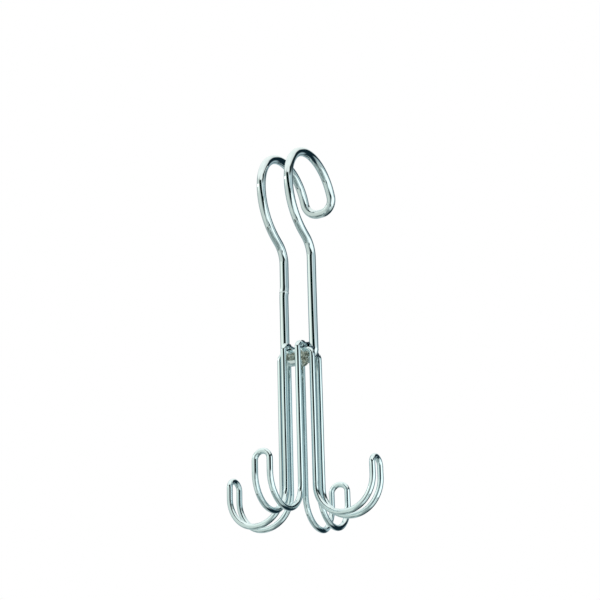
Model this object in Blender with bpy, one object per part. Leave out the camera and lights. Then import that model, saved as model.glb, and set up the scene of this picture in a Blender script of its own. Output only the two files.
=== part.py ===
"""A belt hanger of welded, chromed wire. One loop of heavy wire hangs on a wardrobe rod.
Two loops of lighter wire cross at its foot, and each ends in two hairpin hooks for belts.
Metres, +Z up. The origin is where the hanging loop rests on the rod. X runs along the rod,
and the rod's open side of the loop faces back, along +Y."""

import math

import bmesh
import bpy

# Wires, and the gap kept between wires that are welded where they meet
HANGER_WIRE = 0.006
HOOK_WIRE = 0.0038
WELD_GAP = 0.0003

# Hanging loop from the side: a crown over the rod, a wider sweep down its front, and a neck
CROWN_RADIUS = 0.030
FRONT_RADIUS = 0.037
NECK_RUN = 0.003
NECK_RADIUS = 0.015
TIP_CORNER = 0.009
FRONT_TURN = math.radians(64)
NECK_TURN = math.radians(59)
BACK_TURN = math.radians(70)

# Hook loops: bars that cross above the foot bar, straight legs, and hairpins bent up to the tips
CROSS_BAR_DROP = 0.1356
FOOT_BELOW_BARS = 0.0083
BAR_CORNER = 0.004
BAR_RUN_ON = 0.0007
LEG_RUN = 0.0898
CROSS_BEND = 0.0184
SIDE_BEND = 0.0197
CROSS_TIP_RUN = 0.0076
SIDE_TIP_RUN = 0.0067

# Weld beads, each in the valley between the foot bar and one bar of the side loop
BEAD_LENGTH = 0.014
BEAD_WIDTH = 0.0058
BEAD_HEIGHT = 0.0042
BEAD_BULGE = 0.0007
RIPPLES = 9
RIPPLE_SHARE = 0.06
CUTTER_OVERRUN = 0.002

# Fineness of the surfaces
FACET_TURN = math.radians(11.25)
WIRE_BEVEL = 4
BEAD_RINGS = 56
BEAD_SIDES = 14

# The cross loop's bars lie inside the heavy strands, and the side loop's bars before and behind them
TOUCHING = HANGER_WIRE / 2 + WELD_GAP + HOOK_WIRE / 2
HOOK_HALF_SPAN = TOUCHING
STRAND_HALF_SPAN = HOOK_HALF_SPAN + TOUCHING
FOOT_CORNER = TOUCHING
LEG_REACH = HOOK_HALF_SPAN + HOOK_WIRE / 2 + BAR_RUN_ON + BAR_CORNER

# Heights of the three bars that meet, from the top down, and of the hooks' bends
CROSS_BAR_Z = -CROSS_BAR_DROP
SIDE_BAR_Z = CROSS_BAR_Z - HOOK_WIRE - WELD_GAP
FOOT_BAR_Z = CROSS_BAR_Z - FOOT_BELOW_BARS
BEND_Z = CROSS_BAR_Z - BAR_CORNER - LEG_RUN

CHROME = (0.80, 0.84, 0.85, 1.0)
CHROME_ROUGHNESS = 0.06
WELD_ROUGHNESS = 0.22


def clear_scene():
    for old in list(bpy.data.objects):
        bpy.data.objects.remove(old, do_unlink=True)


def new_collection(name):
    made = bpy.data.collections.new(name)
    bpy.context.scene.collection.children.link(made)
    return made


def chrome(name, roughness):
    """A Principled material of bare chrome plating."""
    made = bpy.data.materials.new(name)
    made.use_nodes = True
    shader = made.node_tree.nodes["Principled BSDF"]
    shader.inputs["Base Color"].default_value = CHROME
    shader.inputs["Metallic"].default_value = 1.0
    shader.inputs["Roughness"].default_value = roughness
    return made


def trace(at, heading, moves):
    """Follows moves in a plane: (length, 0) is a straight run, and (radius, turn) is a bend,
    to the left where the turn is positive. Returns the points passed and the last heading."""
    points = [at]
    for size, turn in moves:
        a, b = points[-1]
        if turn == 0:
            points.append((a + size * math.cos(heading), b + size * math.sin(heading)))
            continue
        side = math.copysign(1, turn)
        centre_a = a - side * size * math.sin(heading)
        centre_b = b + side * size * math.cos(heading)
        steps = max(1, round(abs(turn) / FACET_TURN))
        for step in range(1, steps + 1):
            faced = heading + turn * step / steps
            points.append((centre_a + side * size * math.sin(faced), centre_b - side * size * math.cos(faced)))
        heading += turn
    return points, heading


def across(half_span, corner):
    """The turn from one strand over to the other: (sideways, forward) between the strands' ends."""
    corner = min(corner, half_span)
    steps = max(1, round(math.pi / 2 / FACET_TURN))
    angles = [math.pi / 2 * step / steps for step in range(1, steps + 1)]
    near = [(half_span - corner + corner * math.cos(angle), corner * math.sin(angle)) for angle in angles]
    far = [(-sideways, forward) for sideways, forward in reversed(near)]
    if corner == half_span:
        far = far[1:]
    return near + far + [(-half_span, 0)]


def hanging_loop_path():
    """The centre line of the hanging loop, and how far back its shank stands."""
    crown = HANGER_WIRE / 2
    crown_turn = math.radians(90) - FRONT_TURN + NECK_TURN
    front, down = trace(
        (0, crown),
        math.pi,
        [(CROWN_RADIUS, crown_turn), (FRONT_RADIUS, FRONT_TURN), (NECK_RUN, 0), (NECK_RADIUS, -NECK_TURN)],
    )
    shank_y, neck_z = front[-1]
    front.append((shank_y, FOOT_BAR_Z + FOOT_CORNER))
    back, heading = trace((0, crown), 0, [(CROWN_RADIUS, -BACK_TURN)])
    side_view = list(reversed(front)) + back[1:]
    tip_y, tip_z = back[-1]
    right = [(STRAND_HALF_SPAN, y, z) for y, z in side_view]
    tip = [
        (x, tip_y + forward * math.cos(heading), tip_z + forward * math.sin(heading))
        for x, forward in across(STRAND_HALF_SPAN, TIP_CORNER)
    ]
    left = [(-STRAND_HALF_SPAN, y, z) for y, z in reversed(side_view)]
    foot = [
        (-x, shank_y, FOOT_BAR_Z + FOOT_CORNER - forward) for x, forward in across(STRAND_HALF_SPAN, FOOT_CORNER)
    ]
    return right + tip[:-1] + left + foot[:-1], shank_y


def hook_loop_path(bar_z, bend_radius, tip_run):
    """The centre line of a loop with a hairpin hook at each end, about the middle of its bars."""
    bar_run = LEG_REACH - BAR_CORNER
    leg_run = bar_z - BAR_CORNER - BEND_Z
    strand, heading = trace(
        (bar_run, 0),
        0,
        [(BAR_CORNER, -math.pi / 2), (leg_run, 0), (bend_radius, math.pi), (tip_run, 0)],
    )
    out, up = strand[-1]
    cap = [
        (sideways, out + forward * math.cos(heading), up + forward * math.sin(heading))
        for sideways, forward in across(HOOK_HALF_SPAN, HOOK_HALF_SPAN)
    ]
    path = []
    for end in (1, -1):
        path += [(end * HOOK_HALF_SPAN, end * a, b) for a, b in strand]
        path += [(end * x, end * y, z) for x, y, z in cap[:-1]]
        path += [(-end * HOOK_HALF_SPAN, end * a, b) for a, b in reversed(strand)]
    return path


def wire_loop(name, path, diameter, material, collection):
    """A closed loop of round wire along the path."""
    data = bpy.data.curves.new(name, "CURVE")
    data.dimensions = "3D"
    data.bevel_depth = diameter / 2
    data.bevel_resolution = WIRE_BEVEL
    spline = data.splines.new("POLY")
    spline.points.add(len(path) - 1)
    for point, place in zip(spline.points, path):
        point.co = (*place, 1)
    spline.use_cyclic_u = True
    spline.use_smooth = True
    data.materials.append(material)
    made = bpy.data.objects.new(name, data)
    collection.objects.link(made)
    return made


def bar_cutter(name, diameter, y, z, collection):
    """A plain cylinder along X that keeps the weld gap round a bar."""
    bpy.ops.mesh.primitive_cylinder_add(
        vertices=4 + 2 * WIRE_BEVEL,
        radius=diameter / 2 + WELD_GAP,
        depth=BEAD_LENGTH + 2 * CUTTER_OVERRUN,
        location=(0, y, z),
        rotation=(0, math.pi / 2, 0),
    )
    made = bpy.context.object
    made.name = name
    made.hide_render = True
    made.display_type = "WIRE"
    for other in list(made.users_collection):
        other.objects.unlink(made)
    collection.objects.link(made)
    return made


def weld_bead(name, side, cutters, material, collection):
    """A rippled bead of weld metal that fills the valley from the foot bar up to one side bar."""
    rise = SIDE_BAR_Z - FOOT_BAR_Z
    slant = math.atan2(rise, HOOK_HALF_SPAN)
    apart = math.hypot(rise, HOOK_HALF_SPAN)
    middle = (HANGER_WIRE / 2 + apart - HOOK_WIRE / 2) / 2
    out = middle * math.cos(slant) + BEAD_BULGE * math.sin(slant)
    up = middle * math.sin(slant) - BEAD_BULGE * math.cos(slant)
    mesh = bpy.data.meshes.new(name)
    shape = bmesh.new()
    bmesh.ops.create_uvsphere(shape, u_segments=BEAD_SIDES, v_segments=BEAD_RINGS, radius=1)
    for vert in shape.verts:
        y, z, along = vert.co
        swell = 1 + RIPPLE_SHARE * math.cos(RIPPLES * math.pi * along)
        vert.co = (along * BEAD_LENGTH / 2, y * swell * BEAD_WIDTH / 2, z * swell * BEAD_HEIGHT / 2)
    shape.to_mesh(mesh)
    shape.free()
    mesh.shade_smooth()
    mesh.materials.append(material)
    made = bpy.data.objects.new(name, mesh)
    made.location = (0, side * out, up)
    made.rotation_euler = (side * slant, 0, 0)
    collection.objects.link(made)
    for cutter in cutters:
        cut = made.modifiers.new(cutter.name, "BOOLEAN")
        cut.operation = "DIFFERENCE"
        cut.object = cutter
    return made


def build():
    clear_scene()
    parts = new_collection("belt_hanger")
    helpers = new_collection("cutters")
    plated = chrome("chrome_wire", CHROME_ROUGHNESS)
    welded = chrome("chrome_weld", WELD_ROUGHNESS)

    seat = bpy.data.objects.new("rod_seat", None)
    parts.objects.link(seat)
    path, shank_y = hanging_loop_path()
    foot = bpy.data.objects.new("foot_bar_middle", None)
    foot.location = (0, shank_y, FOOT_BAR_Z)
    foot.parent = seat
    parts.objects.link(foot)

    hanging = wire_loop("hanging_loop", path, HANGER_WIRE, plated, parts)
    hanging.parent = seat

    cross_path = hook_loop_path(CROSS_BAR_Z, CROSS_BEND, CROSS_TIP_RUN)
    cross = wire_loop("cross_hook_loop", cross_path, HOOK_WIRE, plated, parts)
    cross.location = (0, 0, CROSS_BAR_Z - FOOT_BAR_Z)
    cross.parent = foot

    side_path = hook_loop_path(SIDE_BAR_Z, SIDE_BEND, SIDE_TIP_RUN)
    side = wire_loop("side_hook_loop", side_path, HOOK_WIRE, plated, parts)
    side.location = (0, 0, SIDE_BAR_Z - FOOT_BAR_Z)
    side.rotation_euler = (0, 0, math.pi / 2)
    side.parent = foot

    foot_cutter = bar_cutter("foot_cutter", HANGER_WIRE, shank_y, FOOT_BAR_Z, helpers)
    for name, way in (("front", -1), ("back", 1)):
        y = shank_y + way * HOOK_HALF_SPAN
        side_cutter = bar_cutter(name + "_bar_cutter", HOOK_WIRE, y, SIDE_BAR_Z, helpers)
        bead = weld_bead("weld_bead_" + name, way, (foot_cutter, side_cutter), welded, parts)
        bead.parent = foot


build()
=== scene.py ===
"""The looks of the welded wire belt hanger: smooth chromed wires, weld metal, a studio's light and a camera.
Metres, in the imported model's frame: the origin is under the crown, midway between the strands, and X runs from
the left strand to the right one. +Z is up, and the front, from where the photograph was taken, is -Y.
Lengths named here are in millimetres."""

import math

import bmesh
import bpy
from mathutils import Matrix, Vector, noise


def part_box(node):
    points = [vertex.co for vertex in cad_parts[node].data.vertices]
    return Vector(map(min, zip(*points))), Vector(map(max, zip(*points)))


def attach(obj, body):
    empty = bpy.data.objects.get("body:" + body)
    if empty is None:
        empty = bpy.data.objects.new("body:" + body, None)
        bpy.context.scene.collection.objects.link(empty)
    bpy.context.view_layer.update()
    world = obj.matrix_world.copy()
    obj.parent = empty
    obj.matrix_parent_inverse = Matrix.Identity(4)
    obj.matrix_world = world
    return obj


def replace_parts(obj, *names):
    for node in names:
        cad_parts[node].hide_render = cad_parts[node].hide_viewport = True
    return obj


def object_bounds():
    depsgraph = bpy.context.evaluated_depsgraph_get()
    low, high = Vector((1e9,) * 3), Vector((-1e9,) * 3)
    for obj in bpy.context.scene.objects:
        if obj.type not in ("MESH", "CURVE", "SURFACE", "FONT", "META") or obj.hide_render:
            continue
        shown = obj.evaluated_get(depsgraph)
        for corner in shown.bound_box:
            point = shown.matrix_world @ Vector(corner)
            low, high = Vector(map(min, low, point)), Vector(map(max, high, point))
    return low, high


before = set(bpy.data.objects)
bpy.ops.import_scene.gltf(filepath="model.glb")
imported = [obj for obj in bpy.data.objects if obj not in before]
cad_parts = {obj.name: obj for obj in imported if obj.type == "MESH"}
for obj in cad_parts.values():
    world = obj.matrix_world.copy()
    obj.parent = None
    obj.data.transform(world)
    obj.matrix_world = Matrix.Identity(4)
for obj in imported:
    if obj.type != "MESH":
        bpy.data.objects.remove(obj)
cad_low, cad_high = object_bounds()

MM = 0.001

# Wires. They follow the frame's own loops, and each is checked against its node's box.
HANGER_WIRE = 6.0
HOOK_WIRE = 3.8
WELD_GAP = 0.3
CROWN_RADIUS = 30.0
FRONT_RADIUS = 37.0
NECK_RUN = 3.0
NECK_RADIUS = 15.0
TIP_CORNER = 9.0
FRONT_TURN = math.radians(64)
NECK_TURN = math.radians(59)
BACK_TURN = math.radians(70)
CROSS_BAR_DROP = 135.6
FOOT_BELOW_BARS = 8.3
BAR_CORNER = 4.0
BAR_RUN_ON = 0.7
LEG_RUN = 89.8
CROSS_BEND = 18.4
SIDE_BEND = 19.7
CROSS_TIP_RUN = 7.6
SIDE_TIP_RUN = 6.7
BOX_TOLERANCE = 0.15

TOUCHING = HANGER_WIRE / 2 + WELD_GAP + HOOK_WIRE / 2
HOOK_HALF_SPAN = TOUCHING
STRAND_HALF_SPAN = HOOK_HALF_SPAN + TOUCHING
FOOT_CORNER = TOUCHING
LEG_REACH = HOOK_HALF_SPAN + HOOK_WIRE / 2 + BAR_RUN_ON + BAR_CORNER
CROSS_BAR_Z = -CROSS_BAR_DROP
SIDE_BAR_Z = CROSS_BAR_Z - HOOK_WIRE - WELD_GAP
FOOT_BAR_Z = CROSS_BAR_Z - FOOT_BELOW_BARS
BEND_Z = CROSS_BAR_Z - BAR_CORNER - LEG_RUN

# Fineness of the wires' surfaces
TURN_STEP = math.radians(3.5)
RUN_STEP = 1.0
HANGER_SIDES = 64
HOOK_SIDES = 48

# How far the wires stray from true: slow waves of the centre line, flattening and dents where they bend tightly.
# Dents and skin are first taken down by the noise's top, so that they never make a wire thicker.
WAVE_LENGTH = 45.0
WAVE_HEIGHT = 0.10
CALM_MARGIN = 10.0
TIGHT_RADIUS = 4.5
LOOSE_RADIUS = 14.0
TIGHTNESS_REACH = 5
FLATTENING = 0.035
DENT_SIZE = 1.7
DENT_DEPTH = 0.055
SKIN_SIZE = 9.0
SKIN_DEPTH = 0.012
NOISE_TOP = 0.8

# The seed of the noise's draws. Without it they would come from the clock, and each run would give its own shapes.
NOISE_SEED = 1795884086

# Where each loop takes its noise from: for its waves, and for its dents and skin
HANGING_SEEDS = (3.0, 11.0)
CROSS_SEEDS = (17.0, 23.0)
SIDE_SEEDS = (29.0, 31.0)

# The right hook's back leg stands in, and the left strand out below the butt weld
EASE = 1.0
DRAWN_IN = 1.0
KINK = 0.6
KINK_RISE = 5.0
KINK_RUN = 9.0

# How three of the hooks' tips differ from the fourth: the hook's way out, its height added, its shift and its splay
CROSS_TIPS = (((0, 1), 1.7, (-0.7, 0.0), 0.11),)
SIDE_TIPS = (((-1, 0), 1.3, (0.8, 0.0), 0.09), ((1, 0), 0.9, (0.0, 0.0), 0.0))

# The butt weld that closes the heavy loop, on its left strand: a raised ring with a notch, uneven around the wire
SEAM_Z = -94.3
SEAM_WIDTH = 0.42
SEAM_HEIGHT = 0.21
SEAM_STEP = 0.12
SEAM_REACH = 1.8
SEAM_ROUND = 1.3
SEAM_SWAY = 0.22
SEAM_SEED = 7
SEAM_UNEVEN = 0.7
NOTCH_ABOVE = 0.25
NOTCH_WIDTH_SHARE = 0.35
NOTCH_DEPTH_SHARE = 0.5

# Weld metal: blobs run together into one skin, with lumps and grain on it
WELD_VOXEL = 0.16
BLOB_FINENESS = 3
SMOOTHINGS = 2
LUMP_SIZE = 1.9
LUMP_HEIGHT = 0.28
GRAIN_SIZE = 0.45
GRAIN_HEIGHT = 0.03

# The beads: overlapping scales in each valley between the foot bar and a bar of the side loop
BEAD_PITCH = 1.45
BEAD_COUNT = 12
BEAD_ACROSS = 3.3
BEAD_PROUD = 2.3
BEAD_BULGE = 0.5
BEAD_RISE = 0.9
BEAD_TILT = 0.45
BEAD_LAP = 0.95
BEAD_TAPER = 0.25
BEAD_WANDER = 0.3
BEAD_SWELL = 0.16
WANDER_STEP = 0.8
SWELL_STEP = 1.3
SWELL_SEED = 5

# The front bead's run down over the foot bar, before the right strand: slanting scales that narrow downward
SPILL_X = 5.4
SPILL_BELOW_BAR = 1.6
SPILL_COUNT = 6
SPILL_PITCH = 1.4
SPILL_LAP = 0.62
SPILL_SLANT = 0.55
SPILL_HALF_WIDTH = 3.3
SPILL_NARROWING = 0.9
SPILL_PROUD = 1.35
SPILL_TOP_SUNK = 0.6
SPILL_FOOT_SUNK = 0.2
SPILL_SETTLED_SHARE = 0.7
SPILL_WANDER = 0.35
SPILL_WANDER_STEP = 0.9
SPILL_SEED = (4.0, 1.0)

# Fillets of weld metal: each has a place, across, behind the shank and up, and three half sizes
TOUCH_X = STRAND_HALF_SPAN - HANGER_WIRE / 2
TOUCH_Y = HANGER_WIRE / 2 + WELD_GAP / 2
INNER_FILLETS = (
    ((TOUCH_X, -0.6, CROSS_BAR_Z + 1.4), (0.9, 2.1, 1.2)),
    ((TOUCH_X, -0.6, CROSS_BAR_Z - 1.4), (0.9, 2.1, 1.2)),
    ((TOUCH_X - 1.0, -2.4, CROSS_BAR_Z + 1.25), (1.5, 1.7, 1.0)),
)
LEFT_FILLETS = (((1.2 - HOOK_HALF_SPAN, -6.8, CROSS_BAR_Z + 1.1), (0.95, 2.4, 0.95)),)
RIGHT_FILLETS = (
    ((1.2 + HOOK_HALF_SPAN, -6.8, CROSS_BAR_Z + 1.1), (0.95, 2.4, 0.95)),
    ((STRAND_HALF_SPAN + 1.6, -2.5, SIDE_BAR_Z - 3.4), (0.7, 0.9, 2.4)),
    ((STRAND_HALF_SPAN + 2.2, 1.6, SIDE_BAR_Z - 2.8), (0.6, 1.0, 2.2)),
)
BAR_FILLETS = (
    ((STRAND_HALF_SPAN, TOUCH_Y, SIDE_BAR_Z + 1.45), (1.7, 0.75, 0.95)),
    ((STRAND_HALF_SPAN, TOUCH_Y, SIDE_BAR_Z - 1.45), (1.7, 0.75, 0.95)),
    ((STRAND_HALF_SPAN - 5.0, 3.4, SIDE_BAR_Z - 1.9), (1.15, 1.5, 2.3)),
    ((STRAND_HALF_SPAN - 3.7, 3.4, SIDE_BAR_Z - 1.65), (1.15, 1.5, 2.3)),
    ((STRAND_HALF_SPAN - 2.4, 3.4, SIDE_BAR_Z - 1.4), (1.15, 1.5, 2.3)),
    ((STRAND_HALF_SPAN - 1.1, 3.4, SIDE_BAR_Z - 1.15), (1.15, 1.5, 2.3)),
)
CROSSING_FILLET = (0.8, 1.2, 0.75)
CROSSING_ASIDE = 1.2
CROSSING_INSET = 0.4
FILLET_WANDER = 0.25
FILLET_WANDER_STEP = 1.7
FILLET_SEED = 3

# Where each piece of weld metal takes its noise from
END_SEEDS = (("front", -1, 2.0), ("back", 1, 6.0))
STRAND_SEEDS = (("left", -1, 9.0), ("right", 1, 13.0))

# Noise in the materials: its stretch along the wire, its scale per millimetre and its detail
HAZE = (3.0, 0.35, 3.0)
DRAW_LINES = (60.0, 3.0, 4.0)
POLISH = (14.0, 0.5, 1.0)
STAIN = (1.0, 0.55, 4.0)
GRAIN = (1.0, 5.0, 5.0)
NOISE_SPAN = (0.3, 0.7)

# Roughness that each noise gives, from its low to its high values, and the relief's heights in millimetres
HAZE_ROUGHNESS = (0.015, 0.035)
LINE_ROUGHNESS = (0.0, 0.012)
STAIN_ROUGHNESS = (0.17, 0.08)
GRAIN_ROUGHNESS = (0.0, 0.05)
POLISH_RELIEF = 0.006
LINE_RELIEF = 0.0002
GRAIN_RELIEF = 0.025

# Chrome's colour from its haziest to its clearest; the light wires' plating is a little bluer
HEAVY_CHROME = ((0.3, (0.77, 0.83, 0.835)), (0.55, (0.81, 0.865, 0.87)), (0.8, (0.83, 0.875, 0.87)))
LIGHT_CHROME = ((0.3, (0.785, 0.875, 0.885)), (0.55, (0.82, 0.91, 0.92)), (0.8, (0.84, 0.92, 0.925)))

# Weld metal's colour from its sootiest to its clearest, warm on the beads. The small fillets' colours are painted
# shade and painted dark reflection: mostly a near-black navy, rising to a pale chrome colour where the noise is high
BEAD_METAL = (
    (0.34, (0.20, 0.20, 0.16)),
    (0.46, (0.42, 0.42, 0.35)),
    (0.58, (0.62, 0.62, 0.54)),
    (0.7, (0.80, 0.82, 0.76)),
)
FILLET_PAINTED_SHADE = (
    (0.42, (0.02, 0.03, 0.045)),
    (0.54, (0.07, 0.10, 0.13)),
    (0.65, (0.34, 0.42, 0.47)),
    (0.76, (0.72, 0.80, 0.85)),
)

# The studio, as seen from the hanger. The sky's colours go from straight down to straight up.
SKY = (
    (0.0, (0.16, 0.20, 0.195)),
    (0.12, (0.22, 0.28, 0.275)),
    (0.22, (0.42, 0.50, 0.49)),
    (0.36, (0.46, 0.54, 0.53)),
    (0.5, (0.57, 0.64, 0.63)),
    (0.68, (0.62, 0.69, 0.68)),
    (0.72, (0.80, 0.86, 0.84)),
    (1.0, (1.0, 1.06, 1.03)),
)

# Patches on the sky, in degrees of azimuth, 0 at the front and 90 at the right, and of elevation. Each has
# a middle, half sizes, lean and tilt (how its sides and its ends slope), softness and colour.
PATCHES = {
    "behind": ((-165, 12), (60, 30), 0.0, 0.0, (14, 14), (0.36, 0.48, 0.52)),
    "behind_low": ((168, -33), (32, 32), 0.0, 0.0, (8, 8), (0.014, 0.038, 0.052)),
    "left_side": ((-92, 0), (16, 46), 0.0, 0.0, (5, 12), (0.44, 0.50, 0.48)),
    "left_softbox": ((-43, -6), (34, 56), 0.0, 0.0, (3, 8), (0.66, 0.74, 0.70)),
    "left_band": ((-47, 23), (21, 6.5), 0.0, 0.0, (9, 3), (0.99, 1.09, 1.02)),
    "left_streak": ((-64, 27), (22, 1.2), 0.0, 0.0, (5, 1), (2.2, 2.3, 2.25)),
    "low_left": ((-66, -66), (62, 26), 0.0, -0.42, (6, 2), (0.35, 0.44, 0.43)),
    "low_left_hem": ((-54, -44), (24, 2.5), 0.0, -0.42, (4, 2), (0.02, 0.035, 0.035)),
    "low_line": ((-52, -62), (32, 3.5), 0.0, 0.0, (8, 2), (0.05, 0.09, 0.09)),
    "right_lower": ((82, -53), (38, 12), 0.0, 0.0, (6, 5), (0.58, 0.69, 0.69)),
    "right_low": ((92, 12), (52, 20), 0.0, 0.0, (6, 5), (0.56, 0.70, 0.73)),
    "right_near": ((57, 14), (12, 18), 0.0, 0.0, (4, 5), (0.76, 0.86, 0.88)),
    "right_band": ((80, 14), (7, 20), 0.0, 0.0, (4, 5), (0.36, 0.50, 0.54)),
    "right_edge": ((134, 12), (9, 20), 0.0, 0.0, (5, 5), (0.36, 0.48, 0.52)),
    "right_dark": ((106, 38.5), (49, 7.5), 0.0, 0.0, (6, 3), (0.02, 0.035, 0.035)),
    "front_low": ((22, -30), (22, 34), 0.0, 0.0, (6, 10), (0.20, 0.25, 0.245)),
    "front_lower": ((18, -44), (26, 13), 0.0, 0.0, (8, 6), (0.38, 0.46, 0.45)),
    "front_right": ((43, -30), (11, 27), 0.0, 0.0, (4, 4), (0.82, 0.95, 0.95)),
    "sweep_line": ((21, -8), (4.5, 25), 0.3, 0.0, (3, 6), (0.015, 0.035, 0.035)),
    "ceiling": ((-60, 66), (120, 28), 0.0, 0.0, (5, 2), (1.0, 1.06, 1.03)),
    "flag": ((151, -6), (12, 58), -0.22, 0.0, (4, 6), (0.006, 0.019, 0.028)),
    "flag_top": ((154, 34), (14, 10.5), 0.0, 0.0, (4, 3), (0.006, 0.019, 0.028)),
}

# Panels near the hanger: azimuth, distance, place across and up, half width and half height, roll, soft edge, colour
PANELS = {
    "right_softbox": (82, 600.0, (0.0, -257.5), (390.0, 382.5), 0.0, 40.0, (1.12, 1.26, 1.26)),
    "dark_card": (25, 600.0, (-163.0, 294.0), (235.0, 600.0), 42.0, 20.0, (0.001, 0.009, 0.007)),
    "low_card": (46, 560.0, (0.0, 33.0), (168.0, 48.0), 0.0, 8.0, (0.001, 0.011, 0.010)),
    "hook_card": (45, 150.0, (0.0, -173.0), (47.0, 37.0), 0.0, 8.0, (0.001, 0.011, 0.010)),
    "top_light": (9, 560.0, (0.0, 600.0), (225.0, 240.0), 0.0, 20.0, (0.95, 1.01, 0.99)),
}

# Light that comes by way of another wire, near the elevation at which the upright wires mirror the studio
SECOND_LIGHT = (0.32, 0.45, 0.49)
SECOND_LEVEL = 19.0
SECOND_REACH = 9.5
SECOND_SOFT = 3.0

# A room's clutter, which mottles the light: strong below the level given, in degrees, and faint above it
CLUTTER_SCALE = 5.0
CLUTTER_DETAIL = 4.0
CLUTTER_LEVEL = -28.0
CLUTTER_SOFT = 10.0
CLUTTER_LOW = 0.45
CLUTTER_HIGH = 0.06

# Camera, as fitted to the photograph, which is 600 pixels wide
PHOTO_WIDTH = 600
FOCAL_PIXELS = 1472.5
SENSOR = 36.0
CAMERA_AZIMUTH = math.radians(29.55)
CAMERA_ELEVATION = math.radians(-22.75)
CAMERA_ROLL = math.radians(-1.47)
CAMERA_DISTANCE = 962.3
CAMERA_TARGET = Vector((0.89, -1.89, -101.86))
CLIP_START = 10.0
CLIP_END = 100000.0

BACKDROP = (1.0, 1.0, 1.0)
FLOOR_Z = -1000.0
FLOOR_RADIUS = 30000.0
FLOOR_SIDES = 96
FLOOR_COLOUR = (0.92, 0.885, 0.89)
FLOOR_ROUGHNESS = 0.9


def trace(at, heading, moves):
    """Points along moves in a plane: (length, 0) is a straight run, (radius, turn) a bend, to the left
    where the turn is positive. Also returns the last heading."""
    points = [at]
    for size, turn in moves:
        a, b = points[-1]
        if turn == 0:
            steps = max(1, round(size / RUN_STEP))
            way = (math.cos(heading) * size / steps, math.sin(heading) * size / steps)
            points += [(a + way[0] * step, b + way[1] * step) for step in range(1, steps + 1)]
            continue
        side = math.copysign(1, turn)
        centre = (a - side * size * math.sin(heading), b + side * size * math.cos(heading))
        steps = max(1, round(abs(turn) / TURN_STEP))
        for step in range(1, steps + 1):
            faced = heading + turn * step / steps
            points.append((centre[0] + side * size * math.sin(faced), centre[1] - side * size * math.cos(faced)))
        heading += turn
    return points, heading


def across(half_span, corner):
    """The turn from one strand over to the other: (sideways, forward), without the two ends."""
    over = 2 * (half_span - corner)
    moves = [(corner, math.pi / 2), (over, 0), (corner, math.pi / 2)] if over > 0 else [(corner, math.pi)]
    return trace((half_span, 0.0), math.pi / 2, moves)[0][1:-1]


def hanging_loop_path():
    """The centre line of the hanging loop, and how far back its shank stands."""
    crown = HANGER_WIRE / 2
    crown_turn = math.pi / 2 - FRONT_TURN + NECK_TURN
    front, _ = trace(
        (0.0, crown),
        math.pi,
        [(CROWN_RADIUS, crown_turn), (FRONT_RADIUS, FRONT_TURN), (NECK_RUN, 0), (NECK_RADIUS, -NECK_TURN)],
    )
    shank_y, neck_z = front[-1]
    shank, _ = trace(front[-1], -math.pi / 2, [(neck_z - FOOT_BAR_Z - FOOT_CORNER, 0)])
    back, heading = trace((0.0, crown), 0, [(CROWN_RADIUS, -BACK_TURN)])
    side_view = list(reversed(front + shank[1:])) + back[1:]
    tip_y, tip_z = back[-1]
    right = [(STRAND_HALF_SPAN, y, z) for y, z in side_view]
    tip = [
        (x, tip_y + forward * math.cos(heading), tip_z + forward * math.sin(heading))
        for x, forward in across(STRAND_HALF_SPAN, TIP_CORNER)
    ]
    left = [(-x, y, z) for x, y, z in reversed(right)]
    foot = [
        (-x, shank_y, FOOT_BAR_Z + FOOT_CORNER - forward) for x, forward in across(STRAND_HALF_SPAN, FOOT_CORNER)
    ]
    return [Vector(p) for p in right + tip + left + foot], shank_y


def hook_loop_path(bar_z, bend_radius, tip_run, quarter_turns, shank_y):
    """The centre line of a loop with a hairpin hook at each end, turned about the shank by quarters."""
    bar_run = LEG_REACH - BAR_CORNER
    leg_run = bar_z - BAR_CORNER - BEND_Z
    strand, heading = trace(
        (0.0, bar_z),
        0,
        [(bar_run, 0), (BAR_CORNER, -math.pi / 2), (leg_run, 0), (bend_radius, math.pi), (tip_run, 0)],
    )
    out, up = strand[-1]
    cap = [
        (sideways, out + forward * math.cos(heading), up + forward * math.sin(heading))
        for sideways, forward in across(HOOK_HALF_SPAN, HOOK_HALF_SPAN)
    ]
    path = []
    for end in (1, -1):
        path += [(end * HOOK_HALF_SPAN, end * a, b) for a, b in strand]
        path += [(end * x, end * y, z) for x, y, z in cap]
        path += [(-end * HOOK_HALF_SPAN, end * a, b) for a, b in reversed(strand[1:])]
    turned = Matrix.Rotation(quarter_turns * math.pi / 2, 3, "Z")
    return [turned @ Vector(p) + Vector((0, shank_y, 0)) for p in path]


def check_path(node, path, diameter):
    """Stops the script where a wire would not lie where the frame has it."""
    low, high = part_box(node)
    for axis in range(3):
        ends = (min(p[axis] for p in path) - diameter / 2, max(p[axis] for p in path) + diameter / 2)
        for end, wanted in zip(ends, (low[axis] / MM, high[axis] / MM)):
            if abs(end - wanted) > BOX_TOLERANCE:
                raise ValueError(f"{node} reaches {end:.2f} mm where its node reaches {wanted:.2f} mm, on axis {axis}")


def smooth_step(low, high, value):
    """0 below the low value and 1 above the high one, with a soft change between them."""
    share = min(1.0, max(0.0, (value - low) / (high - low)))
    return share * share * (3 - 2 * share)


def wavy(path, seed):
    """Lets a closed path stray sideways in slow waves, as hand-bent wire does, but never out of the part's box."""
    waved = []
    for point in path:
        room = min(min(point[k] - cad_low[k] / MM, cad_high[k] / MM - point[k]) for k in range(3))
        height = WAVE_HEIGHT * smooth_step(HANGER_WIRE, HANGER_WIRE + CALM_MARGIN, room)
        place = point / WAVE_LENGTH + Vector((seed, 0, 0))
        waved.append(point + noise.noise_vector(place) * height)
    return waved


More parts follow.
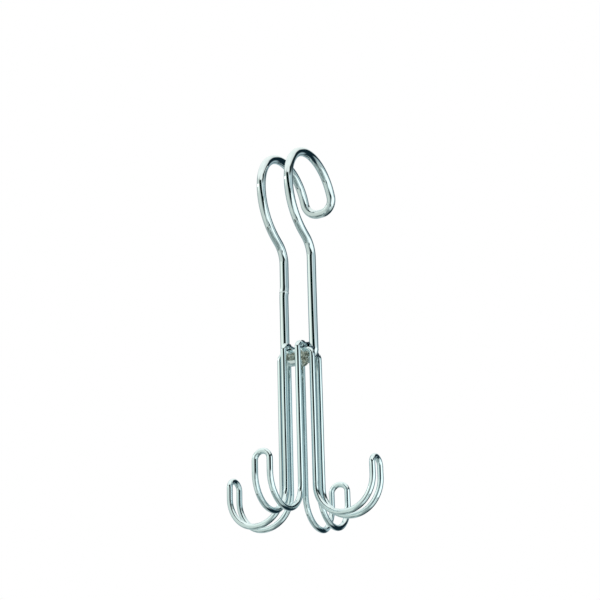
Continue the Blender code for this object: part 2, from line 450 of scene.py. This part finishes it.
def kinked(path):
    """The heavy loop's left strand stands a little further out below the butt weld."""
    bent = []
    for point in path:
        below = smooth_step(0, KINK_RUN, SEAM_Z + KINK_RISE - point.z)
        above_foot = smooth_step(FOOT_BAR_Z + EASE, FOOT_BAR_Z + FOOT_CORNER + 3 * EASE, point.z)
        left = smooth_step(0, STRAND_HALF_SPAN - EASE, -point.x)
        bent.append(point - Vector((KINK * below * above_foot * left, 0, 0)))
    return bent


def draw_in(path, shank_y):
    """The right hook's back leg stands a little nearer to the middle than the others do."""
    drawn = []
    for point in path:
        back = smooth_step(2 * EASE, HOOK_HALF_SPAN, point.y - shank_y)
        out = smooth_step(HOOK_HALF_SPAN, LEG_REACH - BAR_CORNER / 2, point.x)
        bend = 1 - smooth_step(LEG_REACH + EASE, LEG_REACH + SIDE_BEND, point.x)
        drawn.append(point - Vector((DRAWN_IN * back * out * bend, 0, 0)))
    return drawn


def tips_bent(path, shank_y, bend_radius, tip_run, tips):
    """Hand-bent hooks differ: some tips stand a little higher, further aside or wider than the solids have them."""
    middle = Vector((0, shank_y, 0))
    for way, raised, shift, splay in tips:
        out = Vector((*way, 0))
        aside = Vector((abs(way[1]), abs(way[0]), 0))
        bent = []
        for point in path:
            place = point - middle
            beyond = smooth_step(LEG_REACH + bend_radius, LEG_REACH + 2 * bend_radius - 2 * EASE, place.dot(out))
            above = smooth_step(BEND_Z - bend_radius, BEND_Z + tip_run, point.z)
            move = Vector((*shift, raised * above)) + aside * splay * place.dot(aside)
            bent.append(point + move * beyond)
        path = bent
    return path


def seam_step(spot):
    """The length of the heavy loop's steps: fine at its butt weld."""
    return SEAM_STEP if spot.x < 0 and abs(spot.z - SEAM_Z) < SEAM_REACH else RUN_STEP


def refine(path, wanted):
    """Adds points between those of a closed path where wanted(point) gives a finer step."""
    finer = []
    for i, point in enumerate(path):
        following = path[(i + 1) % len(path)]
        steps = max(1, math.ceil((following - point).length / wanted((point + following) / 2)))
        finer += [point.lerp(following, step / steps) for step in range(steps)]
    return finer


def ring_frames(path):
    """A tangent and two cross directions for each point of a closed path, with no sudden twist."""
    count = len(path)
    tangents = [(path[(i + 1) % count] - path[i - 1]).normalized() for i in range(count)]
    normals = [tangents[0].orthogonal().normalized()]
    for i in range(1, count + 1):
        bend = tangents[i - 1].rotation_difference(tangents[i % count])
        normals.append(bend @ normals[-1])
    drift = normals[-1].angle(normals[0])
    if normals[-1].cross(normals[0]).dot(tangents[0]) < 0:
        drift = -drift
    frames = []
    for i in range(count):
        turned = Matrix.Rotation(drift * i / count, 3, tangents[i]) @ normals[i]
        frames.append((turned, tangents[i].cross(turned)))
    return frames


def tightness(path):
    """For each point of a closed path, 0 where it runs straight and 1 in a tight bend, and the way it bends."""
    count = len(path)
    bends = []
    for i in range(count):
        before = path[i] - path[i - 1]
        after = path[(i + 1) % count] - path[i]
        bends.append((after.normalized() - before.normalized()) / ((before.length + after.length) / 2))
    smooth = []
    for i in range(count):
        near = [bends[(i + step) % count] for step in range(-TIGHTNESS_REACH, TIGHTNESS_REACH + 1)]
        bend = sum(near, Vector()) / len(near)
        share = smooth_step(1 / LOOSE_RADIUS, 1 / TIGHT_RADIUS, bend.length)
        smooth.append((share, bend.normalized()))
    return smooth


def seam_height(point, angle):
    """The height of the butt weld's ring, in millimetres."""
    if point.x > 0 or abs(point.z - SEAM_Z) > SEAM_REACH:
        return 0.0
    around = Vector((math.cos(angle), math.sin(angle), 0)) * SEAM_ROUND
    off = point.z - SEAM_Z - SEAM_SWAY * noise.noise(around + Vector((0, 0, SEAM_SEED)))
    ridge = math.exp(-((off / SEAM_WIDTH) ** 2))
    notch = math.exp(-(((off - NOTCH_ABOVE) / (SEAM_WIDTH * NOTCH_WIDTH_SHARE)) ** 2))
    uneven = 1 + SEAM_UNEVEN * noise.noise(around * 2)
    return SEAM_HEIGHT * uneven * ridge - NOTCH_DEPTH_SHARE * SEAM_HEIGHT * notch


def wire_mesh(name, path, diameter, sides, seed, seam=False):
    """A closed loop of round wire as a tube of quads, flattened and dented a little where it bends tightly.
    Each point keeps its place on the straightened wire, in millimetres, for the materials. Lengths are counted
    from the path's start both ways round, so that no line shows there."""
    shape = bmesh.new()
    unrolled = shape.verts.layers.float_vector.new("wire_place")
    rings = []
    run = 0.0
    total = sum((path[i] - path[i - 1]).length for i in range(len(path)))
    for i, (centre, (normal, binormal), (tight, bend)) in enumerate(zip(path, ring_frames(path), tightness(path))):
        ring = []
        run += (path[i] - path[i - 1]).length if i else 0.0
        for side in range(sides):
            angle = 2 * math.pi * side / sides
            outward = normal * math.cos(angle) + binormal * math.sin(angle)
            across_bend = outward.dot(bend) ** 2
            radius = diameter / 2 * (1 - FLATTENING * tight * across_bend)
            spot = centre + outward * radius
            dents = noise.noise((spot + Vector((seed, 0, 0))) / DENT_SIZE)
            skin = noise.noise((spot - Vector((seed, 0, 0))) / SKIN_SIZE)
            radius += DENT_DEPTH * tight * (dents - NOISE_TOP) + SKIN_DEPTH * (skin - NOISE_TOP)
            if seam:
                radius += seam_height(centre, angle)
            vert = shape.verts.new((centre + outward * radius) * MM)
            vert[unrolled] = (math.cos(angle) * diameter / 2, math.sin(angle) * diameter / 2, min(run, total - run))
            ring.append(vert)
        rings.append(ring)
    for i, ring in enumerate(rings):
        following = rings[(i + 1) % len(rings)]
        for side in range(sides):
            after = (side + 1) % sides
            shape.faces.new((ring[side], ring[after], following[after], following[side]))
    bmesh.ops.recalc_face_normals(shape, faces=shape.faces)
    mesh = bpy.data.meshes.new(name)
    shape.to_mesh(mesh)
    shape.free()
    mesh.shade_smooth()
    return mesh


def weld_mesh(name, blobs, seed):
    """Blobs, each a centre and three half axes, run together into one lumpy skin."""
    shape = bmesh.new()
    for centre, axes in blobs:
        squash = Matrix([[axes[k][row] for k in range(3)] for row in range(3)]).to_4x4()
        placed = Matrix.Scale(MM, 4) @ Matrix.Translation(centre) @ squash
        bmesh.ops.create_icosphere(shape, subdivisions=BLOB_FINENESS, radius=1.0, matrix=placed)
    rough = bpy.data.meshes.new(name + "_blobs")
    shape.to_mesh(rough)
    shape.free()
    holder = bpy.data.objects.new(name + "_blobs", rough)
    bpy.context.scene.collection.objects.link(holder)
    joining = holder.modifiers.new("join", "REMESH")
    joining.mode = "VOXEL"
    joining.voxel_size = WELD_VOXEL * MM
    joined = bpy.data.meshes.new_from_object(holder.evaluated_get(bpy.context.evaluated_depsgraph_get()))
    bpy.data.objects.remove(holder)
    bpy.data.meshes.remove(rough)
    joined.name = name
    shape = bmesh.new()
    shape.from_mesh(joined)
    for _ in range(SMOOTHINGS):
        bmesh.ops.smooth_vert(shape, verts=shape.verts, factor=0.5, use_axis_x=True, use_axis_y=True, use_axis_z=True)
    shape.normal_update()
    moved = []
    for vert in shape.verts:
        place = vert.co / MM + Vector((seed, 0, 0))
        lumps = noise.noise(place / LUMP_SIZE) * LUMP_HEIGHT
        grain = noise.noise(place / GRAIN_SIZE) * GRAIN_HEIGHT
        moved.append(vert.co + vert.normal * (lumps + grain) * MM)
    for vert, spot in zip(shape.verts, moved):
        vert.co = spot
    shape.to_mesh(joined)
    shape.free()
    joined.shade_smooth()
    return joined


def bead_blobs(shank_y, side, seed):
    """A bead laid along the valley between the foot bar and one bar of the side loop: overlapping scales."""
    rise = SIDE_BAR_Z - FOOT_BAR_Z
    slant = math.atan2(rise, HOOK_HALF_SPAN)
    up_valley = Vector((0, side * math.cos(slant), math.sin(slant)))
    outward = Vector((0, side * math.sin(slant), -math.cos(slant)))
    middle = (HANGER_WIRE / 2 + math.hypot(rise, HOOK_HALF_SPAN) - HOOK_WIRE / 2) / 2 + BEAD_RISE
    tilted = (Vector((1.0, 0, 0)) + outward * BEAD_TILT).normalized()
    blobs = []
    for i in range(BEAD_COUNT):
        along = (i - (BEAD_COUNT - 1) / 2) * BEAD_PITCH
        wander = noise.noise_vector(Vector((i * WANDER_STEP, seed, 0))) * BEAD_WANDER
        swell = 1 + BEAD_SWELL * noise.noise(Vector((i * SWELL_STEP, seed, SWELL_SEED)))
        end = 1 - BEAD_TAPER * abs(along / (BEAD_COUNT * BEAD_PITCH / 2)) ** 3
        centre = Vector((along, shank_y, FOOT_BAR_Z)) + up_valley * middle + outward * BEAD_BULGE + wander
        wide = up_valley * BEAD_ACROSS * swell * end
        proud = outward * BEAD_PROUD * swell * end
        blobs.append((centre, (tilted * BEAD_PITCH * BEAD_LAP, wide, proud)))
    return blobs


def spill_blobs(shank_y):
    """The front bead runs on down over the foot bar, before the right strand, in slanting scales."""
    blobs = []
    along = Vector((1.0, 0, SPILL_SLANT)).normalized()
    down = Vector((along.z, 0, -along.x))
    top_ahead = HOOK_HALF_SPAN - SPILL_TOP_SUNK
    foot_ahead = HANGER_WIRE / 2 - SPILL_FOOT_SUNK
    for i in range(SPILL_COUNT):
        share = i / (SPILL_COUNT - 1)
        ahead = top_ahead + (foot_ahead - top_ahead) * smooth_step(0, SPILL_SETTLED_SHARE, share)
        wander = noise.noise_vector(Vector((i * SPILL_WANDER_STEP, *SPILL_SEED))) * SPILL_WANDER
        centre = Vector((SPILL_X, shank_y - ahead, SIDE_BAR_Z - SPILL_BELOW_BAR - i * SPILL_PITCH)) + wander
        wide = along * (SPILL_HALF_WIDTH - SPILL_NARROWING * share)
        blobs.append((centre, (wide, Vector((0, -SPILL_PROUD, 0)), down * SPILL_PITCH * SPILL_LAP)))
    return blobs


def fillet_blobs(spots, seed):
    """Small round dabs of weld metal: each spot is a centre and three half sizes."""
    blobs = []
    for i, (centre, sizes) in enumerate(spots):
        wander = noise.noise_vector(Vector((i * FILLET_WANDER_STEP, seed, FILLET_SEED))) * FILLET_WANDER
        axes = [Vector([size if k == axis else 0 for k in range(3)]) for axis, size in enumerate(sizes)]
        blobs.append((Vector(centre) + wander, axes))
    return blobs


def strand_spots(shank_y, way):
    """Where a strand of the heavy loop meets a cross bar, on its inner side, and the side bars behind and before."""
    spots = [((way * x, y, z), sizes) for (x, y, z), sizes in INNER_FILLETS]
    spots += RIGHT_FILLETS if way > 0 else LEFT_FILLETS
    for back in (1, -1):
        spots += [((way * x, back * y, z), sizes) for (x, y, z), sizes in BAR_FILLETS]
    return [((x, shank_y + y, z), sizes) for (x, y, z), sizes in spots]


def crossing_spots(shank_y, back):
    """Where the bars of the two hook loops cross."""
    y = shank_y + back * (HOOK_HALF_SPAN - CROSSING_INSET)
    z = (CROSS_BAR_Z + SIDE_BAR_Z) / 2
    spots = []
    for way in (1, -1):
        for step in (1, -1):
            spots.append(((way * HOOK_HALF_SPAN + step * CROSSING_ASIDE, y, z), CROSSING_FILLET))
    return spots


def add_detail(mesh, material):
    """Puts a mesh in the scene, riding on the one body."""
    piece = bpy.data.objects.new(mesh.name, mesh)
    bpy.context.scene.collection.objects.link(piece)
    piece.data.materials.append(material)
    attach(piece, "root")
    return piece


def add_piece(mesh, node, material):
    """Puts a mesh in the scene in place of a node."""
    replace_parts(add_detail(mesh, material), node)


def socket_input(tree, socket, value):
    """Gives a socket a fixed number, or links another socket to it."""
    if isinstance(value, (int, float)):
        socket.default_value = value
    else:
        tree.links.new(value, socket)


def maths(tree, operation, *values):
    """One step of arithmetic on numbers and sockets."""
    node = tree.nodes.new("ShaderNodeMath")
    node.operation = operation
    for socket, value in zip(node.inputs, values):
        socket_input(tree, socket, value)
    return node.outputs[0]


def mapped(tree, value, source, target, kind):
    """A value moved from one range to another, and held at its ends."""
    node = tree.nodes.new("ShaderNodeMapRange")
    node.interpolation_type = kind
    tree.links.new(value, node.inputs["Value"])
    for name, number in zip(("From Min", "From Max", "To Min", "To Max"), (*source, *target)):
        node.inputs[name].default_value = number
    return node.outputs["Result"]


def fade(tree, distance, reach, softness):
    """1 inside the reach and 0 outside it, with a soft edge."""
    return mapped(tree, distance, (reach - softness, reach + softness), (1.0, 0.0), "SMOOTHSTEP")


def spread(tree, value, low, high):
    """A noise value spread out between low and high."""
    return mapped(tree, value, NOISE_SPAN, (low, high), "LINEAR")


def vector_maths(tree, operation, vector, name, value):
    """One step of arithmetic on a vector or colour, with a second input given by its name or number."""
    node = tree.nodes.new("ShaderNodeVectorMath")
    node.operation = operation
    tree.links.new(vector, node.inputs[0])
    if isinstance(value, tuple):
        node.inputs[name].default_value = value
    else:
        socket_input(tree, node.inputs[name], value)
    return node.outputs[0]


def mixed(tree, label, factor, light, colour):
    """A colour socket that gives way to a fixed colour as the factor grows."""
    node = tree.nodes.new("ShaderNodeMix")
    node.label = label
    node.data_type = "RGBA"
    tree.links.new(factor, node.inputs["Factor"])
    tree.links.new(light, node.inputs[6])
    node.inputs[7].default_value = (*colour, 1)
    return node.outputs[2]


def noise_value(tree, place, stretch, scale, detail):
    """Noise over a place in millimetres, drawn out along the wire by the stretch."""
    node = tree.nodes.new("ShaderNodeTexNoise")
    tree.links.new(vector_maths(tree, "MULTIPLY", place, 1, (1.0, 1.0, 1.0 / stretch)), node.inputs["Vector"])
    node.inputs["Scale"].default_value = scale
    node.inputs["Detail"].default_value = detail
    return node.outputs[0]


def colour_ramp(tree, value, stops):
    """The colours between the stops, each a place and a colour."""
    ramp = tree.nodes.new("ShaderNodeValToRGB")
    tree.links.new(value, ramp.inputs[0])
    while len(ramp.color_ramp.elements) < len(stops):
        ramp.color_ramp.elements.new(0.5)
    for element, (place, colour) in zip(ramp.color_ramp.elements, stops):
        element.position = place
        element.color = (*colour, 1)
    return ramp.outputs[0]


def bump(tree, height, distance, normal=None):
    """Relief of a height in millimetres, over another relief where one is given."""
    node = tree.nodes.new("ShaderNodeBump")
    node.inputs["Distance"].default_value = distance * MM
    tree.links.new(height, node.inputs["Height"])
    if normal is not None:
        tree.links.new(normal, node.inputs["Normal"])
    return node.outputs[0]


def metal(name):
    """A new metallic material, its node tree and its shader's inputs."""
    made = bpy.data.materials.new(name)
    made.use_nodes = True
    inputs = made.node_tree.nodes["Principled BSDF"].inputs
    inputs["Metallic"].default_value = 1.0
    return made, made.node_tree, inputs


def chrome_wire(name, colours):
    """Bright chrome over drawn wire: faint draw lines along it, a hardly uneven polish and a trace of haze."""
    made, tree, inputs = metal(name)
    place = tree.nodes.new("ShaderNodeAttribute")
    place.attribute_name = "wire_place"
    haze, lines, polish = (noise_value(tree, place.outputs["Vector"], *kind) for kind in (HAZE, DRAW_LINES, POLISH))
    tree.links.new(colour_ramp(tree, haze, colours), inputs["Base Color"])
    rough = maths(tree, "ADD", spread(tree, haze, *HAZE_ROUGHNESS), spread(tree, lines, *LINE_ROUGHNESS))
    tree.links.new(rough, inputs["Roughness"])
    relief = bump(tree, lines, LINE_RELIEF, bump(tree, polish, POLISH_RELIEF))
    tree.links.new(relief, inputs["Normal"])
    return made


def weld_metal(name, colours):
    """Weld metal under the same plating: duller, its colour varied at random by a noise, with a fine grain. With the
    fillets' colours, that colour is painted shade and painted reflection.
    """
    made, tree, inputs = metal(name)
    place = vector_maths(tree, "SCALE", tree.nodes.new("ShaderNodeTexCoord").outputs["Object"], "Scale", 1 / MM)
    stain_and_shade, grain = (noise_value(tree, place, *kind) for kind in (STAIN, GRAIN))
    # Random stains on the beads; with the fillets' colours this ramp paints shade and dark reflection
    tree.links.new(colour_ramp(tree, stain_and_shade, colours), inputs["Base Color"])
    rough = maths(tree, "ADD", spread(tree, stain_and_shade, *STAIN_ROUGHNESS), spread(tree, grain, *GRAIN_ROUGHNESS))
    tree.links.new(rough, inputs["Roughness"])
    tree.links.new(bump(tree, grain, GRAIN_RELIEF), inputs["Normal"])
    return made


def second_reflection(tree, first_depth):
    """1 for light that the camera sees by two reflections or more, and 0 for the rest."""
    return maths(tree, "GREATER_THAN", tree.nodes.new("ShaderNodeLightPath").outputs["Ray Depth"], first_depth + 0.5)


def make_panel(name, azimuth, distance, place, half, roll, soft, colour):
    """A softbox or a dark card that shows in the hanger's chrome, but never to the camera."""
    shape = bmesh.new()
    bmesh.ops.create_grid(shape, x_segments=1, y_segments=1, size=0.5)
    mesh = bpy.data.meshes.new(name)
    shape.to_mesh(mesh)
    shape.free()
    panel = bpy.data.objects.new(name, mesh)
    bpy.context.scene.collection.objects.link(panel)
    turn = math.radians(azimuth)
    away = Vector((math.sin(turn), -math.cos(turn), 0.0))
    rightward = Vector((math.cos(turn), math.sin(turn), 0.0))
    panel.location = (away * distance + rightward * place[0] + Vector((0, 0, place[1]))) * MM
    facing = Matrix.Rotation(turn, 4, "Z") @ Matrix.Rotation(math.pi / 2, 4, "X")
    panel.rotation_euler = (facing @ Matrix.Rotation(math.radians(roll), 4, "Z")).to_euler()
    panel.scale = (2 * half[0] * MM, 2 * half[1] * MM, 1)
    panel.visible_camera = False
    panel.visible_shadow = False
    made = bpy.data.materials.new(name)
    made.use_nodes = True
    tree = made.node_tree
    tree.nodes.clear()
    split = tree.nodes.new("ShaderNodeSeparateXYZ")
    tree.links.new(tree.nodes.new("ShaderNodeTexCoord").outputs["Object"], split.inputs[0])
    mask = maths(tree, "SUBTRACT", 1.0, second_reflection(tree, 1))
    for coordinate, half_size in zip(split.outputs, half):
        edge = soft / (2 * half_size)
        mask = maths(tree, "MULTIPLY", mask, fade(tree, maths(tree, "ABSOLUTE", coordinate), 0.5 - edge, edge))
    clear = tree.nodes.new("ShaderNodeBsdfTransparent")
    light = tree.nodes.new("ShaderNodeEmission")
    light.inputs["Color"].default_value = (*colour, 1)
    mix = tree.nodes.new("ShaderNodeMixShader")
    tree.links.new(mask, mix.inputs[0])
    tree.links.new(clear.outputs[0], mix.inputs[1])
    tree.links.new(light.outputs[0], mix.inputs[2])
    tree.links.new(mix.outputs[0], tree.nodes.new("ShaderNodeOutputMaterial").inputs[0])
    panel.data.materials.append(made)


def make_studio():
    """The light that the chrome mirrors: a sky with patches, clutter and panels, and white behind the hanger."""
    world = bpy.data.worlds.new("studio")
    bpy.context.scene.world = world
    world.use_nodes = True
    tree = world.node_tree
    tree.nodes.clear()
    way = tree.nodes.new("ShaderNodeTexCoord").outputs["Generated"]
    split = tree.nodes.new("ShaderNodeSeparateXYZ")
    tree.links.new(way, split.inputs[0])
    x, y, z = split.outputs
    azimuth = maths(tree, "DEGREES", maths(tree, "ARCTAN2", x, maths(tree, "MULTIPLY", y, -1.0)))
    elevation = maths(tree, "DEGREES", maths(tree, "ARCSINE", z))
    light = colour_ramp(tree, maths(tree, "MULTIPLY_ADD", elevation, 1 / 180, 0.5), SKY)
    for name, (middle, half, lean, tilt, soft, colour) in PATCHES.items():
        aim = maths(tree, "MULTIPLY_ADD", elevation, lean, float(middle[0]))
        aside = maths(tree, "WRAP", maths(tree, "SUBTRACT", azimuth, aim), -180.0, 180.0)
        level = maths(tree, "MULTIPLY_ADD", aside, tilt, float(middle[1]))
        above = maths(tree, "ABSOLUTE", maths(tree, "SUBTRACT", elevation, level))
        aside = maths(tree, "ABSOLUTE", aside)
        mask = maths(tree, "MULTIPLY", fade(tree, aside, half[0], soft[0]), fade(tree, above, half[1], soft[1]))
        light = mixed(tree, name, mask, light, colour)
    clutter = noise_value(tree, way, 1.0, CLUTTER_SCALE, CLUTTER_DETAIL)
    low = fade(tree, elevation, CLUTTER_LEVEL, CLUTTER_SOFT)
    depth = maths(tree, "MULTIPLY_ADD", low, CLUTTER_LOW - CLUTTER_HIGH, CLUTTER_HIGH)
    uneven = maths(tree, "MULTIPLY_ADD", spread(tree, clutter, -1.0, 1.0), depth, 1.0)
    light = vector_maths(tree, "SCALE", light, "Scale", uneven)
    off_level = maths(tree, "ABSOLUTE", maths(tree, "SUBTRACT", elevation, SECOND_LEVEL))
    near_level = fade(tree, off_level, SECOND_REACH, SECOND_SOFT)
    second = maths(tree, "MULTIPLY", second_reflection(tree, 2), near_level)
    light = mixed(tree, "second_light", second, light, SECOND_LIGHT)
    seen = tree.nodes.new("ShaderNodeLightPath").outputs["Is Camera Ray"]
    light = mixed(tree, "backdrop", seen, light, BACKDROP)
    shader = tree.nodes.new("ShaderNodeBackground")
    tree.links.new(light, shader.inputs["Color"])
    tree.links.new(shader.outputs[0], tree.nodes.new("ShaderNodeOutputWorld").inputs[0])
    for name, settings in PANELS.items():
        make_panel(name, *settings)


def make_floor():
    """A wide pale floor, which the chrome doesn't mirror."""
    bpy.ops.mesh.primitive_circle_add(
        vertices=FLOOR_SIDES, radius=FLOOR_RADIUS * MM, fill_type="NGON", location=(0, 0, FLOOR_Z * MM)
    )
    floor = bpy.context.object
    floor.name = "floor"
    floor.visible_glossy = False
    made = bpy.data.materials.new("floor_paper")
    made.use_nodes = True
    shader = made.node_tree.nodes["Principled BSDF"]
    shader.inputs["Base Color"].default_value = (*FLOOR_COLOUR, 1)
    shader.inputs["Roughness"].default_value = FLOOR_ROUGHNESS
    floor.data.materials.append(made)


def make_camera():
    """The camera at the photograph's angle."""
    data = bpy.data.cameras.new("camera")
    data.sensor_width = SENSOR
    data.lens = SENSOR * FOCAL_PIXELS / PHOTO_WIDTH
    data.clip_start = CLIP_START * MM
    data.clip_end = CLIP_END * MM
    camera = bpy.data.objects.new("camera", data)
    bpy.context.scene.collection.objects.link(camera)
    level = math.cos(CAMERA_ELEVATION)
    back = Vector(
        (math.sin(CAMERA_AZIMUTH) * level, -math.cos(CAMERA_AZIMUTH) * level, math.sin(CAMERA_ELEVATION))
    )
    camera.location = (CAMERA_TARGET + back * CAMERA_DISTANCE) * MM
    facing = (-back).to_track_quat("-Z", "Y")
    camera.rotation_mode = "QUATERNION"
    camera.rotation_quaternion = facing @ Matrix.Rotation(CAMERA_ROLL, 3, "Z").to_quaternion()
    bpy.context.scene.camera = camera


def build():
    """Puts a dressed piece in place of each node, and adds the fillets beside the beads."""
    heavy = chrome_wire("chrome_heavy_wire", HEAVY_CHROME)
    light = chrome_wire("chrome_light_wire", LIGHT_CHROME)
    path, shank_y = hanging_loop_path()
    check_path("hanging_loop", path, HANGER_WIRE)
    wave_seed, skin_seed = HANGING_SEEDS
    path = refine(kinked(wavy(path, wave_seed)), seam_step)
    mesh = wire_mesh("hanging_wire", path, HANGER_WIRE, HANGER_SIDES, skin_seed, seam=True)
    add_piece(mesh, "hanging_loop", heavy)

    path = hook_loop_path(CROSS_BAR_Z, CROSS_BEND, CROSS_TIP_RUN, 0, shank_y)
    check_path("cross_hook_loop", path, HOOK_WIRE)
    wave_seed, skin_seed = CROSS_SEEDS
    path = wavy(tips_bent(path, shank_y, CROSS_BEND, CROSS_TIP_RUN, CROSS_TIPS), wave_seed)
    mesh = wire_mesh("cross_hook_wire", path, HOOK_WIRE, HOOK_SIDES, skin_seed)
    add_piece(mesh, "cross_hook_loop", light)

    path = hook_loop_path(SIDE_BAR_Z, SIDE_BEND, SIDE_TIP_RUN, 1, shank_y)
    check_path("side_hook_loop", path, HOOK_WIRE)
    wave_seed, skin_seed = SIDE_SEEDS
    path = wavy(tips_bent(draw_in(path, shank_y), shank_y, SIDE_BEND, SIDE_TIP_RUN, SIDE_TIPS), wave_seed)
    mesh = wire_mesh("side_hook_wire", path, HOOK_WIRE, HOOK_SIDES, skin_seed)
    add_piece(mesh, "side_hook_loop", light)

    bead = weld_metal("chrome_weld_bead", BEAD_METAL)
    # The fillets' material paints shade and dark reflection into its colour, as a near-black navy
    fillet = weld_metal("chrome_weld_fillet_painted_shade", FILLET_PAINTED_SHADE)
    for end, back, seed in END_SEEDS:
        blobs = bead_blobs(shank_y, back, seed) + (spill_blobs(shank_y) if end == "front" else [])
        mesh = weld_mesh("weld_metal_" + end, blobs, seed)
        add_piece(mesh, "weld_bead_" + end, bead)
        mesh = weld_mesh("weld_crossing_" + end, fillet_blobs(crossing_spots(shank_y, back), seed), seed + 1)
        add_detail(mesh, fillet)
    for end, way, seed in STRAND_SEEDS:
        mesh = weld_mesh("weld_strand_" + end, fillet_blobs(strand_spots(shank_y, way), seed), seed)
        add_detail(mesh, fillet)


noise.seed_set(NOISE_SEED)
bpy.context.scene.view_settings.view_transform = "Standard"
make_camera()
make_studio()
make_floor()
build()
